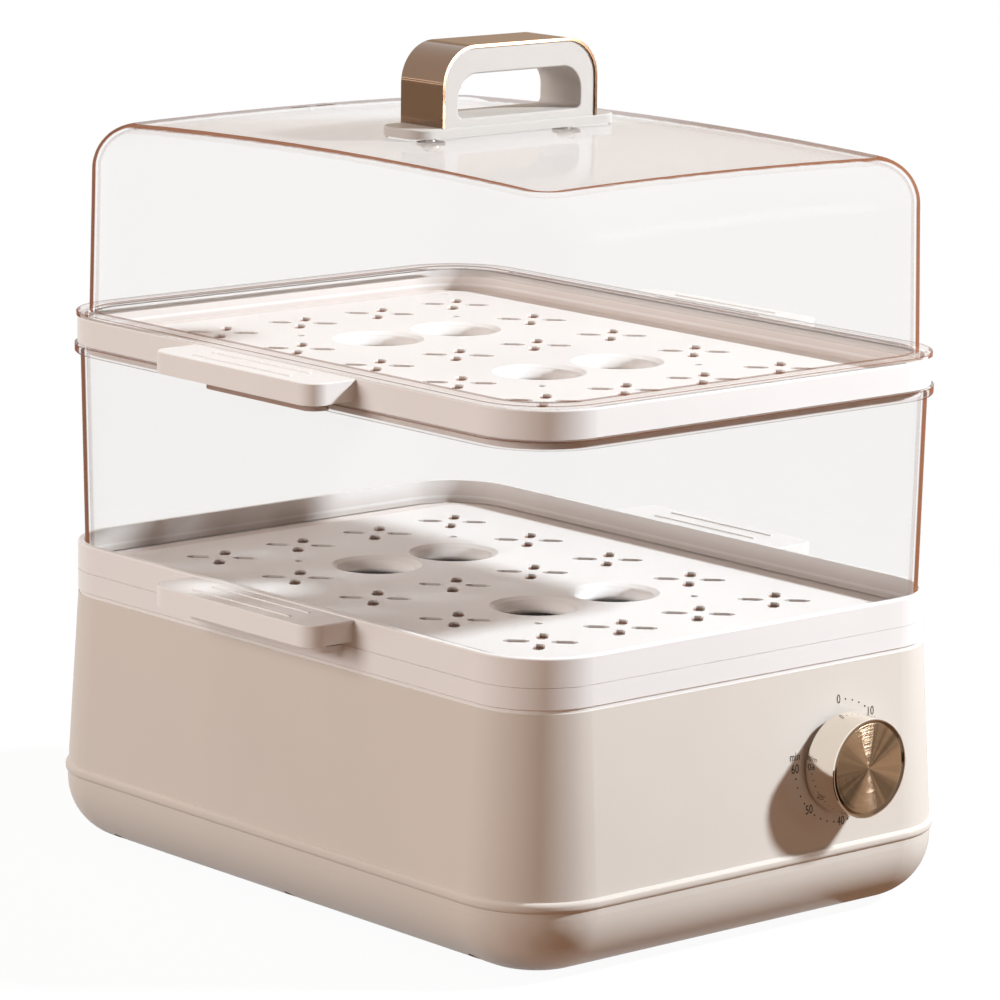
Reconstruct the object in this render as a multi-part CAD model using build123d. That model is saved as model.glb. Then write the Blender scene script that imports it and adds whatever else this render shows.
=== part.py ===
from build123d import *
import math
import os

os.makedirs("parts", exist_ok=True)

# Two-tier electric food steamer, millimetres, +Z up, knob face towards -Y.
# The rings of the stack share one plan outline: a rectangle with round corners.
# An "offset" below is how far an outline lies outside (+) or inside (-) that ring outline.
ring_width = 235.0
ring_length = 317.4
ring_corner = 32.3

# heights of the stack, from the surface that the feet stand on
foot_height = 1.5
skirt_top_z = 30.5
bead_height = 5.0
housing_top_z = 110.0
pan_flange_thickness = 1.5
drip_ring_height = 8.8
tray_ring_height = 12.1
tier_rise = 93.2

# plan offsets of the base
housing_top_offset = -0.1
housing_bottom_offset = 4.7
bead_offset = 5.7
skirt_offset = 4.7
housing_wall = 2.6
skirt_wall = 2.5
skirt_edge_radius = 26.5

# water pan
pan_wall = 1.8
pan_offset = -3.6
pan_flange_offset = -0.5
basin_depth = 10.5
well_side_margin = 13.5
well_rear_margin = 14.7
well_front_margin = 70.7
well_corner = 22.0
well_depth = 41.0
well_floor = 2.0
well_edge_cut = 6.0
basin_edge_cut = 4.0

# heating plate group, seated in the floor of the well
plate_flange_radius = 58.0
plate_radius = 47.0
plate_sheet = 1.2
plate_drop = 6.0
gasket_thickness = 1.5
gasket_inner_radius = 48.0
floor_hole_radius = 48.5
clamp_screw_circle = 53.5
clamp_screw_count = 4
clamp_screw_radius = 2.0
clamp_ring_outer = 60.0
clamp_ring_inner = 49.5
clamp_ring_thickness = 2.0
element_circle = 32.0
element_tube_radius = 3.6
element_gap_angle = 50.0
element_pin_radius = 1.6
element_pin_length = 14.0
thermostat_radius = 9.0
thermostat_height = 9.0
fuse_radius = 2.2
fuse_length = 14.0
fuse_x = 17.0
collar_radius = 68.0
collar_wall = 2.0
collar_height = 30.0
collar_slot_count = 6
collar_slot_width = 14.0
collar_slot_height = 5.0

# trays
tray_wall = 2.6
ring_edge_round = 0.8
tray_floor_drop = 7.2
tray_floor_thickness = 2.0
gutter_width = 20.0
gutter_slope = 1.6
locating_lip_wall = 2.0
locating_lip_depth = 4.0
locating_gap = 0.4
cell_pitch_x = 43.1
cell_pitch_y = 52.0
cell_columns = 4
cell_rows = 5
petal_length = 11.5
petal_width = 5.0
petal_distance = 9.8
petal_end_angles = (-90, -30, 30, 90)
egg_hole_radius = 17.0
egg_rim_radius = 19.5
egg_columns = (1, 2)
egg_rows = (1, 3)
dot_radius = 2.0
drain_length = 27.0
drain_width = 3.2
drain_inset = 20.0
drain_pitch = 52.0
drain_count = 5
ring_seam_cut = 0.35
grip_length = 106.0
grip_centre_y = 2.2
grip_reach = 23.2
grip_height = 9.0
grip_drop = 0.6
grip_corner = 8.0
grip_edge_round = 0.5
gusset_reach = 14.7
gusset_depth = 1.0
rib_length = 64.0
rib_width = 1.2
rib_height = 0.5
rib_pitch = 10.1
rib_row_reach = 11.4

# tabs under the tray grips, on the drip tray and on the tier
tab_length = 73.0
drip_tab_length = 90.0
tab_reach = 11.0
tab_thickness = 2.8
tab_corner = 6.0

# drip tray
drip_floor_thickness = 2.0
steam_window_width = 120.0
steam_window_length = 150.0
steam_window_corner = 30.0
steam_lip_height = 5.0
steam_lip_wall = 2.0
handling_gap = 0.4

# clear tier and clear lid
tier_wall_thickness = 2.4
tier_top_offset = -1.2
tier_bottom_offset = -3.2
tier_flange_offset = 1.25
tier_flange_height = 4.0
lid_wall_thickness = 2.4
lid_bottom_offset = -5.0
lid_corner = 27.5
lid_draft_angle = 1.3
lid_height = 86.5
lid_crown_radius = 2800.0
lid_edge_radius = 19.5
lid_flange_thickness = 2.0
lid_flange_offset = 0.5
lid_lip_depth = 3.5
lid_lip_wall = 2.0
lid_pad_inset = 1.0
lid_pad_rise = 0.3
vent_length = 10.0
vent_width = 3.4
vent_spacing = 14.0
vent_end_inset = 34.2

# lid handle
handle_plate_length = 112.0
handle_plate_width = 27.0
handle_plate_corner = 9.0
handle_plate_thickness = 4.0
arch_width = 84.5
arch_height = 33.4
arch_corner = 17.0
arch_opening_width = 66.6
arch_opening_height = 18.0
arch_opening_top_corner = 10.0
arch_opening_low_corner = 2.5
handle_edge_round = 0.8
arch_sill = 3.4
cover_thickness = 1.2
cover_gap = 0.05
cover_overhang = 0.6
handle_screw_radius = 2.0
handle_screw_bite = 15.0
handle_screw_head_radius = 4.0
handle_screw_head_height = 2.6
handle_seal_radius = 6.0
handle_seal_thickness = 1.2

# knob and timer, on the front panel
knob_x = 49.0
knob_z = 70.0
knob_radius = 20.7
knob_reach = 17.5
knob_panel_gap = 1.9
knob_side_wall = 2.0
knob_cap_recess = 0.4
knob_cap_thickness = 1.0
knob_rim_width = 0.8
knob_edge_cut = 0.35
knob_hub_radius = 6.5
pointer_length = 9.0
pointer_width = 0.6
pointer_depth = 0.35
shaft_radius = 3.0
shaft_flat = 0.9
shaft_running_gap = 0.05
shaft_grip_length = 11.0
clip_wall = 0.6
bush_radius = 5.0
bush_hole_gap = 0.25
timer_width = 54.0
timer_depth = 28.0
timer_corner = 8.0
timer_pad_depth = 4.0
timer_shaft_depth = 14.0
timer_ear_pitch = 68.0
timer_ear_width = 12.0
timer_ear_thickness = 1.6
timer_screw_radius = 1.6
bell_radius = 22.0
bell_height = 9.0
bell_sheet = 1.0

# bottom cover fittings
cover_lip_height = 5.0
cover_lip_wall = 1.8
cover_lip_gap = 0.3
post_radius = 5.0
post_side_inset = 9.5
post_end_inset = 40.7
post_height_in_housing = 26.0
cover_screw_radius = 1.75
cover_screw_hole_gap = 0.15
cover_screw_head_radius = 3.5
cover_screw_head_height = 2.4
cover_screw_counterbore = 18.0
cover_screw_bite = 12.0
vent_slot_length = 34.0
vent_slot_width = 3.0
vent_slot_pitch = 9.0
vent_slot_count = 9
vent_row_y = 34.0
foot_side_inset = 43.5
foot_end_inset = 46.7
foot_radius = 9.0
foot_stem_radius = 4.0
foot_stem_gap = 0.1
foot_head_radius = 5.2
foot_head_height = 2.2

# supply side, at the back
gland_x = -62.0
gland_z = 52.0
gland_flange_radius = 10.0
gland_flange_thickness = 1.5
gland_body_radius = 8.0
gland_bore_radius = 4.2
gland_body_length = 14.0
gland_wall_gap = 0.9
gland_nut_thickness = 5.0
gland_nut_radius = 12.0
thread_gap = 0.05
terminal_length = 42.0
terminal_width = 18.0
terminal_height = 15.0
terminal_ways = 3
terminal_x = -38.0
terminal_end_inset = 40.7
terminal_bore_radius = 2.2
terminal_screw_radius = 1.8

# levels that follow from the sizes above
half_width = ring_width / 2
half_length = ring_length / 2
cover_floor_z = foot_height + skirt_wall
base_top_z = housing_top_z + pan_flange_thickness
drip_top_z = base_top_z + drip_ring_height
lower_ring_z = drip_top_z
lower_floor_z = lower_ring_z + tray_ring_height - tray_floor_drop
tier_foot_z = lower_ring_z + tray_floor_thickness
tier_top_z = lower_floor_z + tier_rise
upper_ring_z = tier_top_z
lid_seat_z = upper_ring_z + tray_ring_height
lid_top_z = lid_seat_z + lid_height
basin_floor_z = base_top_z - basin_depth
well_floor_z = basin_floor_z - well_depth
well_under_z = well_floor_z - well_floor
plate_seat_z = well_floor_z + gasket_thickness
plate_under_z = plate_seat_z - plate_drop

# places that follow the plan
well_width = ring_width - 2 * well_side_margin
well_length = ring_length - well_rear_margin - well_front_margin
well_centre_y = (well_front_margin - well_rear_margin) / 2
vent_centre_y = half_length - vent_end_inset
post_x = half_width - post_side_inset
post_end_y = half_length - post_end_inset
post_rows = (-post_end_y, 0.0, post_end_y)
foot_x = half_width - foot_side_inset
foot_y = half_length - foot_end_inset
terminal_centre = (terminal_x, half_length - terminal_end_inset)


def housing_offset_at(z):
    # the housing flares evenly from its top edge down to the skirt
    share = (housing_top_z - z) / (housing_top_z - skirt_top_z)
    return housing_top_offset + share * (housing_bottom_offset - housing_top_offset)


panel_y = -(half_length + housing_offset_at(knob_z))
panel_inner_y = panel_y + housing_wall
timer_face_y = panel_inner_y + timer_pad_depth
knob_face_y = panel_y - knob_reach
knob_back_y = panel_y - knob_panel_gap
rear_y = half_length + bead_offset

# the origin of the frame is under the middle of the overall box
frame_shift_y = -(knob_face_y + rear_y) / 2


def save(name, shape):
    export_step(Pos(0, frame_shift_y, 0) * shape, "parts/" + name + ".step")
    return shape


def outline(offset, corner=None):
    radius = (ring_corner if corner is None else corner) + offset
    return RectangleRounded(ring_width + 2 * offset, ring_length + 2 * offset, radius)


def block(offset, low, high, corner=None):
    return Pos(0, 0, low) * extrude(outline(offset, corner), high - low)


def wall(outer, inner, low, high):
    return block(outer, low, high) - block(inner, low, high)


def flared(low_offset, low, high_offset, high, corner=None):
    return loft([Pos(0, 0, low) * outline(low_offset, corner), Pos(0, 0, high) * outline(high_offset, corner)])


def disc(radius, low, high, x=0.0, y=0.0):
    return Pos(x, y, low) * extrude(Circle(radius), high - low)


def along_y(radius, start, end, x=0.0, z=0.0):
    # a cylinder between two Y values
    return Pos(x, start, z) * Rot(-90, 0, 0) * extrude(Circle(radius), end - start)


def prism_y(sketch, start, end, x=0.0, z=0.0):
    # the sketch's own X and Y run along X and Z, and it is drawn from start to end along Y
    return Pos(x, end, z) * Rot(90, 0, 0) * extrude(sketch, end - start)


def ring_of(count, radius, start_angle=0.0):
    places = []
    for index in range(count):
        angle = math.radians(start_angle + 360.0 * index / count)
        places.append((radius * math.cos(angle), radius * math.sin(angle)))
    return places


def pan_head_screw(radius, head_radius, head_height, length):
    # head below z = 0, shank above it
    head = Pos(0, 0, -head_height) * extrude(Circle(head_radius), head_height)
    head = chamfer(head.edges().group_by(Axis.Z)[0], head_height * 0.45)
    return head + extrude(Circle(radius), length)


# Base

def make_housing():
    outer = flared(housing_bottom_offset, skirt_top_z, housing_top_offset, housing_top_z)
    bead = block(bead_offset, skirt_top_z, skirt_top_z + bead_height)
    bead = fillet(bead.edges().group_by(Axis.Z)[-1], bead_height * 0.42)
    bead = fillet(bead.edges().group_by(Axis.Z)[0], bead_height * 0.42)
    inner = flared(housing_bottom_offset - housing_wall, skirt_top_z, housing_top_offset - housing_wall, housing_top_z)
    shell = outer + bead - inner
    boss_low = skirt_top_z
    boss_high = boss_low + post_height_in_housing
    for side in (-1, 1):
        for row in post_rows:
            boss = disc(post_radius, boss_low, boss_high, side * post_x, row)
            web_end = half_width + housing_offset_at(boss_high) - housing_wall / 2
            web_length = web_end - post_x
            web = Pos(side * (post_x + web_length / 2), row, (boss_low + boss_high) / 2)
            web = web * Box(web_length, housing_wall, boss_high - boss_low)
            pilot = disc(cover_screw_radius + thread_gap, boss_low, boss_low + cover_screw_bite + 1, side * post_x, row)
            shell = shell + boss + web - pilot
    pad = RectangleRounded(timer_width, timer_width, timer_corner)
    pad = pad + SlotOverall(timer_ear_pitch + timer_ear_width, timer_ear_width)
    shell = shell + (prism_y(pad, panel_y - 2 * housing_wall, timer_face_y, knob_x, knob_z) & outer)
    for side in (-1, 1):
        bite_x = knob_x + side * timer_ear_pitch / 2
        bite_start = timer_face_y - timer_pad_depth
        shell = shell - along_y(timer_screw_radius + thread_gap, bite_start, timer_face_y, bite_x, knob_z)
    shell = shell - along_y(bush_radius + bush_hole_gap, panel_y - 5, timer_face_y + 1, knob_x, knob_z)
    rear_wall_y = half_length + housing_offset_at(gland_z)
    shell = shell - along_y(gland_body_radius + bush_hole_gap, rear_wall_y - 8, rear_wall_y + 5, gland_x, gland_z)
    return shell


def make_bottom_cover():
    outer = block(skirt_offset, foot_height, skirt_top_z)
    outer = fillet(outer.edges().group_by(Axis.Z)[0], skirt_edge_radius)
    inner = block(skirt_offset - skirt_wall, cover_floor_z, skirt_top_z)
    inner = fillet(inner.edges().group_by(Axis.Z)[0], skirt_edge_radius - skirt_wall)
    posts = Part()
    for side in (-1, 1):
        for row in post_rows:
            posts = posts + disc(post_radius, foot_height, skirt_top_z, side * post_x, row)
    cover = (outer - inner) + (posts & outer)
    lip_outer = housing_offset_at(skirt_top_z + cover_lip_height) - housing_wall - cover_lip_gap
    lip_low = skirt_top_z - cover_lip_height
    shelf = wall(skirt_offset - skirt_wall / 2, lip_outer - cover_lip_wall, lip_low, skirt_top_z)
    lip = wall(lip_outer, lip_outer - cover_lip_wall, skirt_top_z, skirt_top_z + cover_lip_height)
    cover = cover + shelf + lip
    for side in (-1, 1):
        for row in post_rows:
            gap = cover_screw_hole_gap
            cover = cover - disc(cover_screw_radius + gap, 0, skirt_top_z + cover_lip_height, side * post_x, row)
            cover = cover - disc(cover_screw_head_radius + gap, 0, cover_screw_counterbore, side * post_x, row)
            boss_room = disc(post_radius + gap, skirt_top_z, skirt_top_z + cover_lip_height, side * post_x, row)
            web_room = Pos(side * (post_x + post_radius), row, skirt_top_z + cover_lip_height / 2)
            cover = cover - boss_room - web_room * Box(4 * post_radius, housing_wall + 2 * gap, cover_lip_height)
    slot = extrude(Rectangle(vent_slot_length, vent_slot_width), 2 * cover_floor_z)
    for row_sign in (-1, 1):
        for index in range(vent_slot_count):
            x = (index - (vent_slot_count - 1) / 2) * vent_slot_pitch
            cover = cover - Pos(x, row_sign * vent_row_y, -foot_height) * Rot(0, 0, 90) * slot
    for sx in (-1, 1):
        for sy in (-1, 1):
            cover = cover - disc(foot_stem_radius + foot_stem_gap, 0, cover_floor_z + 1, sx * foot_x, sy * foot_y)
    return cover


def make_feet():
    feet = []
    for sx in (-1, 1):
        for sy in (-1, 1):
            pad = disc(foot_radius, 0, foot_height)
            pad = chamfer(pad.edges().group_by(Axis.Z)[0], foot_height * 0.4)
            stem = disc(foot_stem_radius, foot_height, cover_floor_z)
            head = disc(foot_head_radius, cover_floor_z, cover_floor_z + foot_head_height)
            head = chamfer(head.edges().group_by(Axis.Z)[-1], foot_head_height * 0.5)
            feet.append(Pos(sx * foot_x, sy * foot_y, 0) * (pad + stem + head))
    return Compound(feet)


def make_cover_screws():
    screws = []
    length = skirt_top_z + cover_screw_bite - cover_screw_counterbore
    screw = pan_head_screw(cover_screw_radius, cover_screw_head_radius, cover_screw_head_height, length)
    for side in (-1, 1):
        for row in post_rows:
            screws.append(Pos(side * post_x, row, cover_screw_counterbore) * screw)
    return Compound(screws)


def well_block(inset, low, high):
    sketch = RectangleRounded(well_width - 2 * inset, well_length - 2 * inset, well_corner - inset)
    return Pos(0, well_centre_y, low) * extrude(sketch, high - low)


def make_water_pan():
    flange = block(pan_flange_offset, housing_top_z, base_top_z)
    basin = block(pan_offset, basin_floor_z - well_floor, housing_top_z)
    basin = chamfer(basin.edges().group_by(Axis.Z)[0], basin_edge_cut)
    well = well_block(0, well_under_z, basin_floor_z)
    well = chamfer(well.edges().group_by(Axis.Z)[0], well_edge_cut)
    basin_room = block(pan_offset - pan_wall, basin_floor_z, base_top_z)
    basin_room = chamfer(basin_room.edges().group_by(Axis.Z)[0], basin_edge_cut - pan_wall)
    well_room = well_block(pan_wall, well_floor_z, basin_floor_z)
    well_room = chamfer(well_room.edges().group_by(Axis.Z)[0], well_edge_cut - pan_wall)
    pan = flange + basin + well - basin_room - well_room
    pan = pan - disc(floor_hole_radius, well_under_z - 1, well_floor_z + 1, 0, well_centre_y)
    for x, y in ring_of(clamp_screw_count, clamp_screw_circle, 45):
        hole = clamp_screw_radius + cover_screw_hole_gap
        pan = pan - disc(hole, well_under_z - 1, well_floor_z + 1, x, well_centre_y + y)
    return pan


def plate_group(shape):
    return Pos(0, well_centre_y, 0) * shape


def make_heating_plate():
    with BuildPart() as plate:
        with BuildSketch(Plane.XZ):
            with BuildLine():
                Polyline(
                    (0, plate_under_z),
                    (plate_radius, plate_under_z),
                    (plate_radius, plate_seat_z),
                    (plate_flange_radius, plate_seat_z),
                    (plate_flange_radius, plate_seat_z + plate_sheet),
                    (plate_radius - plate_sheet, plate_seat_z + plate_sheet),
                    (plate_radius - plate_sheet, plate_under_z + plate_sheet),
                    (0, plate_under_z + plate_sheet),
                    close=True,
                )
            make_face()
        revolve(axis=Axis.Z)
    shape = plate.part
    for x, y in ring_of(clamp_screw_count, clamp_screw_circle, 45):
        shape = shape - disc(clamp_screw_radius + cover_screw_hole_gap, plate_seat_z - 1, plate_seat_z + 3, x, y)
    return plate_group(shape)


def make_plate_gasket():
    gasket = disc(plate_flange_radius, well_floor_z, plate_seat_z)
    gasket = gasket - disc(gasket_inner_radius, well_floor_z, plate_seat_z)
    for x, y in ring_of(clamp_screw_count, clamp_screw_circle, 45):
        gasket = gasket - disc(clamp_screw_radius + cover_screw_hole_gap, well_floor_z, plate_seat_z, x, y)
    return plate_group(gasket)


def make_clamp_ring():
    low = well_under_z - clamp_ring_thickness
    ring = disc(clamp_ring_outer, low, well_under_z) - disc(clamp_ring_inner, low, well_under_z)
    for x, y in ring_of(clamp_screw_count, clamp_screw_circle, 45):
        ring = ring - disc(clamp_screw_radius + cover_screw_hole_gap, low, well_under_z, x, y)
    return plate_group(ring)


def make_clamp_screws():
    screws = []
    nut_height = 3.2
    head_seat_z = plate_seat_z + plate_sheet
    length = head_seat_z - well_under_z + clamp_ring_thickness + nut_height + 1.0
    screw = Rot(180, 0, 0) * pan_head_screw(clamp_screw_radius, 1.9 * clamp_screw_radius, 2.2, length)
    for x, y in ring_of(clamp_screw_count, clamp_screw_circle, 45):
        screws.append(Pos(x, well_centre_y + y, head_seat_z) * screw)
    return Compound(screws)


def make_clamp_nuts():
    nuts = []
    nut_height = 3.2
    low = well_under_z - clamp_ring_thickness - nut_height
    nut = extrude(RegularPolygon(2 * clamp_screw_radius, 6), nut_height)
    nut = nut - extrude(Circle(clamp_screw_radius + thread_gap), nut_height)
    for x, y in ring_of(clamp_screw_count, clamp_screw_circle, 45):
        nuts.append(Pos(x, well_centre_y + y, low) * nut)
    return Compound(nuts)


def element_centre_z():
    return plate_under_z - element_tube_radius - 0.1


def make_heater_element():
    z = element_centre_z()
    start = -90 + element_gap_angle / 2
    path = Pos(0, 0, z) * CenterArc((0, 0), element_circle, start, 360 - element_gap_angle)
    section = Plane(origin=path @ 0, z_dir=path % 0) * Circle(element_tube_radius)
    element = sweep(section, path=path)
    for end in (path @ 0, path @ 1):
        leg = disc(element_tube_radius, z - element_tube_radius - 4, z, end.X, end.Y)
        pin_top = z - element_tube_radius - 4
        pin = disc(element_pin_radius, pin_top - element_pin_length, pin_top, end.X, end.Y)
        element = element + leg + pin
    return plate_group(element)


def make_thermostat():
    top = plate_under_z - 0.1
    can = disc(thermostat_radius, top - thermostat_height, top)
    can = chamfer(can.edges().group_by(Axis.Z)[0], 1.0)
    blade = Box(4.0, 0.8, 8.0)
    for side in (-1, 1):
        can = can + Pos(side * thermostat_radius * 0.5, 0, top - thermostat_height - 3.0) * blade
    return plate_group(can)


def make_thermal_fuse():
    z = plate_under_z - fuse_radius - 0.1
    body = along_y(fuse_radius, -fuse_length / 2, fuse_length / 2, fuse_x, z)
    lead = along_y(fuse_radius * 0.3, -fuse_length, fuse_length, fuse_x, z)
    return plate_group(body + lead)


def make_steam_collar():
    top = well_floor_z + collar_height
    collar = disc(collar_radius, well_floor_z, top) - disc(collar_radius - collar_wall, well_floor_z, top)
    for index in range(collar_slot_count):
        cut = Box(2 * collar_wall + 4, collar_slot_width, collar_slot_height)
        cut = Rot(0, 0, 360.0 * index / collar_slot_count) * Pos(collar_radius, 0, well_floor_z) * cut
        collar = collar - cut
    return plate_group(collar)


# Supply side

def make_cord_gland():
    wall_y = half_length + housing_offset_at(gland_z)
    face = wall_y + gland_wall_gap
    flange = along_y(gland_flange_radius, face, face + gland_flange_thickness, gland_x, gland_z)
    body = along_y(gland_body_radius, face - gland_body_length, face, gland_x, gland_z)
    bore = along_y(gland_bore_radius, face - gland_body_length - 1, face + gland_flange_thickness + 1, gland_x, gland_z)
    flange = chamfer(flange.edges().group_by(Axis.Y)[-1], gland_flange_thickness * 0.4)
    return flange + body - bore


def make_gland_nut():
    inner_face = half_length + housing_offset_at(gland_z) - housing_wall - gland_wall_gap
    nut = prism_y(RegularPolygon(gland_nut_radius, 6), inner_face - gland_nut_thickness, inner_face, gland_x, gland_z)
    bore = gland_body_radius + thread_gap
    return nut - along_y(bore, inner_face - gland_nut_thickness - 1, inner_face + 1, gland_x, gland_z)


def terminal_places():
    pitch = terminal_length / terminal_ways
    places = []
    for index in range(terminal_ways):
        places.append(terminal_centre[0] + (index - (terminal_ways - 1) / 2) * pitch)
    return places


def make_terminal_block():
    x, y = terminal_centre
    body = Pos(x, y, cover_floor_z + terminal_height / 2) * Box(terminal_length, terminal_width, terminal_height)
    body = chamfer(body.edges().group_by(Axis.Z)[-1], 1.2)
    half = terminal_width / 2
    for place in terminal_places():
        body = body - along_y(terminal_bore_radius, y - half - 1, y + half + 1, place, cover_floor_z + terminal_height * 0.4)
        top = cover_floor_z + terminal_height
        body = body - disc(terminal_screw_radius + thread_gap, top - 4.5, top + 1, place, y)
    return body


def make_terminal_screws():
    top = cover_floor_z + terminal_height
    screws = []
    for place in terminal_places():
        screws.append(disc(terminal_screw_radius, top - 4.4, top - 0.4, place, terminal_centre[1]))
    return Compound(screws)


# Knob and timer

def make_timer_case():
    body = prism_y(RectangleRounded(timer_width, timer_width, timer_corner), timer_face_y, timer_face_y + timer_depth)
    ear_sketch = SlotOverall(timer_ear_pitch + timer_ear_width, timer_ear_width)
    body = body + prism_y(ear_sketch, timer_face_y, timer_face_y + timer_ear_thickness)
    for side in (-1, 1):
        hole = timer_screw_radius + cover_screw_hole_gap
        body = body - along_y(hole, timer_face_y - 1, timer_face_y + 5, side * timer_ear_pitch / 2, 0)
    shaft_room = shaft_radius + shaft_running_gap
    body = body - along_y(shaft_room, timer_face_y - 1, timer_face_y + timer_shaft_depth + 0.5)
    body = Pos(knob_x, 0, knob_z) * body
    return body


def make_timer_bush():
    front = panel_y - knob_panel_gap / 2
    bush = along_y(bush_radius, front, timer_face_y, knob_x, knob_z)
    return bush - along_y(shaft_radius + shaft_running_gap, front - 1, timer_face_y + 1, knob_x, knob_z)


def make_timer_bell():
    start = timer_face_y + timer_depth
    dome = along_y(bell_radius, start + 2, start + 2 + bell_height)
    dome = chamfer(dome.edges().group_by(Axis.Y)[-1], bell_height * 0.5)
    room = along_y(bell_radius - bell_sheet, start + 2, start + 2 + bell_height - bell_sheet)
    room = chamfer(room.edges().group_by(Axis.Y)[-1], (bell_height - bell_sheet) * 0.5)
    post = along_y(2.5, start, start + 2 + bell_height)
    return Pos(knob_x, 0, knob_z) * (dome - room + post)


def make_timer_screws():
    screws = []
    screw = pan_head_screw(timer_screw_radius, 2 * timer_screw_radius, 1.8, timer_ear_thickness + timer_pad_depth * 0.8)
    for side in (-1, 1):
        seat = Pos(knob_x + side * timer_ear_pitch / 2, timer_face_y + timer_ear_thickness, knob_z)
        screws.append(seat * Rot(90, 0, 0) * screw)
    return Compound(screws)


def make_timer_shaft():
    tip_y = knob_face_y + knob_cap_recess + knob_cap_thickness + 2.0
    shaft = along_y(shaft_radius, tip_y, timer_face_y + timer_shaft_depth)
    flat_length = shaft_grip_length
    flat = Pos(0, tip_y + flat_length / 2, shaft_radius - shaft_flat / 2 + 2)
    shaft = shaft - flat * Box(4 * shaft_radius, flat_length, shaft_flat + 4)
    return Pos(knob_x, 0, knob_z) * shaft


def make_knob_clip():
    tip_y = knob_face_y + knob_cap_recess + knob_cap_thickness + 2.0
    inner = shaft_radius + thread_gap
    clip = along_y(inner + clip_wall, tip_y, tip_y + shaft_grip_length)
    clip = clip - along_y(inner, tip_y - 1, tip_y + shaft_grip_length + 1)
    split = Pos(0, tip_y + shaft_grip_length / 2, -inner) * Box(1.2, shaft_grip_length + 2, 2 * inner)
    return Pos(knob_x, 0, knob_z) * (clip - split)


def make_knob_body():
    body = along_y(knob_radius, knob_face_y, knob_back_y)
    body = chamfer(body.edges().group_by(Axis.Y)[0], knob_edge_cut)
    recess = knob_cap_recess + knob_cap_thickness
    body = body - along_y(knob_radius - knob_rim_width, knob_face_y - 1, knob_face_y + recess)
    room = along_y(knob_radius - knob_side_wall, knob_face_y + recess + knob_side_wall, knob_back_y + 1)
    room = room - along_y(knob_hub_radius, knob_face_y, knob_back_y + 2)
    body = body - room
    bore = shaft_radius + 2 * thread_gap + clip_wall
    body = body - along_y(bore, knob_face_y + recess + 2.0, knob_back_y + 1)
    return Pos(knob_x, 0, knob_z) * body


def make_knob_cap():
    start = knob_face_y + knob_cap_recess
    cap = along_y(knob_radius - knob_rim_width - thread_gap, start, start + knob_cap_thickness)
    pointer_centre = knob_radius - knob_rim_width - 1.5 - pointer_length / 2
    pointer = Pos(0, start, pointer_centre) * Box(pointer_width, 2 * pointer_depth, pointer_length)
    return Pos(knob_x, 0, knob_z) * (cap - pointer)


# Trays

def side_tab(top_z, length, centre_y):
    # one tab on each X side, under the tray's grips
    sketch = RectangleRounded(ring_width + 2 * tab_reach, length, tab_corner)
    return Pos(0, centre_y, top_z - tab_thickness) * extrude(sketch, tab_thickness)


def make_drip_tray():
    floor_top = base_top_z + drip_floor_thickness
    ring = block(0, base_top_z, drip_top_z)
    ring = chamfer(ring.edges().group_by(Axis.Z)[0], ring_seam_cut)
    ring = ring - block(-tray_wall, base_top_z, drip_top_z)
    floor = block(-tray_wall / 2, base_top_z, floor_top)
    lip_outer = pan_offset - pan_wall - handling_gap
    lip = wall(lip_outer, lip_outer - locating_lip_wall, base_top_z - locating_lip_depth, base_top_z)
    tray = ring + floor + lip
    margin = 2 * steam_lip_wall
    window = RectangleRounded(steam_window_width, steam_window_length, steam_window_corner)
    rim_corner = steam_window_corner + steam_lip_wall
    rim = RectangleRounded(steam_window_width + margin, steam_window_length + margin, rim_corner)
    place = Pos(0, well_centre_y, base_top_z)
    tray = tray + place * extrude(rim, drip_floor_thickness + steam_lip_height)
    tray = tray - place * extrude(window, drip_floor_thickness + steam_lip_height)
    tabs = side_tab(drip_top_z, drip_tab_length, grip_centre_y) - block(-tray_wall / 2, base_top_z, drip_top_z)
    return tray + tabs


def petal_places():
    # four petals on the diagonals of every cell that has no egg hole
    places = []
    for column in range(cell_columns):
        for row in range(cell_rows):
            if column in egg_columns and row in egg_rows:
                continue
            x, y = cell_centre(column, row)
            for quarter in range(4):
                angle = 45 + 90 * quarter
                reach = petal_distance
                px = x + reach * math.cos(math.radians(angle))
                py = y + reach * math.sin(math.radians(angle))
                places.append((px, py, angle))
    return places


def cell_centre(column, row):
    x = (column - (cell_columns - 1) / 2) * cell_pitch_x
    y = (row - (cell_rows - 1) / 2) * cell_pitch_y
    return x, y


def petal_outline():
    # a slot whose round ends have three sides each, which keeps the mesh of the trays small
    reach = (petal_length - petal_width) / 2
    radius = petal_width / 2
    points = []
    for end in (1, -1):
        for angle in petal_end_angles:
            corner = math.radians(angle)
            points.append((end * (reach + radius * math.cos(corner)), end * radius * math.sin(corner)))
    return make_face(Polyline(*points, close=True).edges())


def floor_pattern():
    # every hole of the tray floor, drawn flat
    holes = Sketch()
    petal = petal_outline()
    for x, y, angle in petal_places():
        holes = holes + Pos(x, y) * Rot(0, 0, angle) * petal
    for column in egg_columns:
        for row in egg_rows:
            x, y = cell_centre(column, row)
            holes = holes + Pos(x, y) * Circle(egg_hole_radius)
    for column in (0.5, cell_columns - 1.5):
        for row in (0.5, cell_rows - 1.5):
            x, y = cell_centre(column, row)
            holes = holes + Pos(x, y) * Circle(dot_radius)
    drain = SlotOverall(drain_length, drain_width)
    for side in (-1, 1):
        for index in range(drain_count):
            y = (index - (drain_count - 1) / 2) * drain_pitch
            holes = holes + Pos(side * (half_width - drain_inset), y) * Rot(0, 0, 90) * drain
    return holes


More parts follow.
